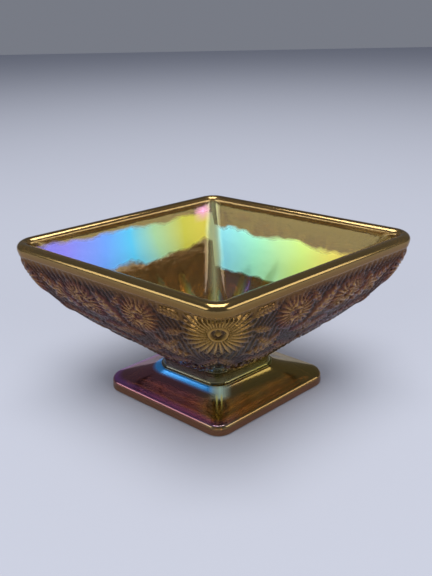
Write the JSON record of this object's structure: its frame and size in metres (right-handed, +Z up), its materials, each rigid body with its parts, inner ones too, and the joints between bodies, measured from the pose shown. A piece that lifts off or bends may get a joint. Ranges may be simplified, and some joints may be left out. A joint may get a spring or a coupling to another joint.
{
  "type": "carnival glass bowl",
  "caption": "Diamond-plan footed bowl of pressed iridescent amber glass: open bowl with a rounded lip, a short stem and a spreading foot, hollow underneath.",
  "frame": {"origin": "under the centre of the foot, on the plane it stands on", "axes": "+X along the rim's long diagonal, +Y along the short diagonal, +Z up out of the bowl"},
  "size_m": [0.1646, 0.1058, 0.0815],
  "materials": {
    "bowl_glass": "amber pressed glass with a marigold iridescent lustre",
    "stem_glass": "amber pressed glass, smooth, iridescent",
    "foot_glass": "amber pressed glass, smooth, iridescent"
  },
  "bodies": {
    "root": {"bowl": "bowl_glass", "stem": "stem_glass", "foot": "foot_glass"}
  },
  "joints": []
}
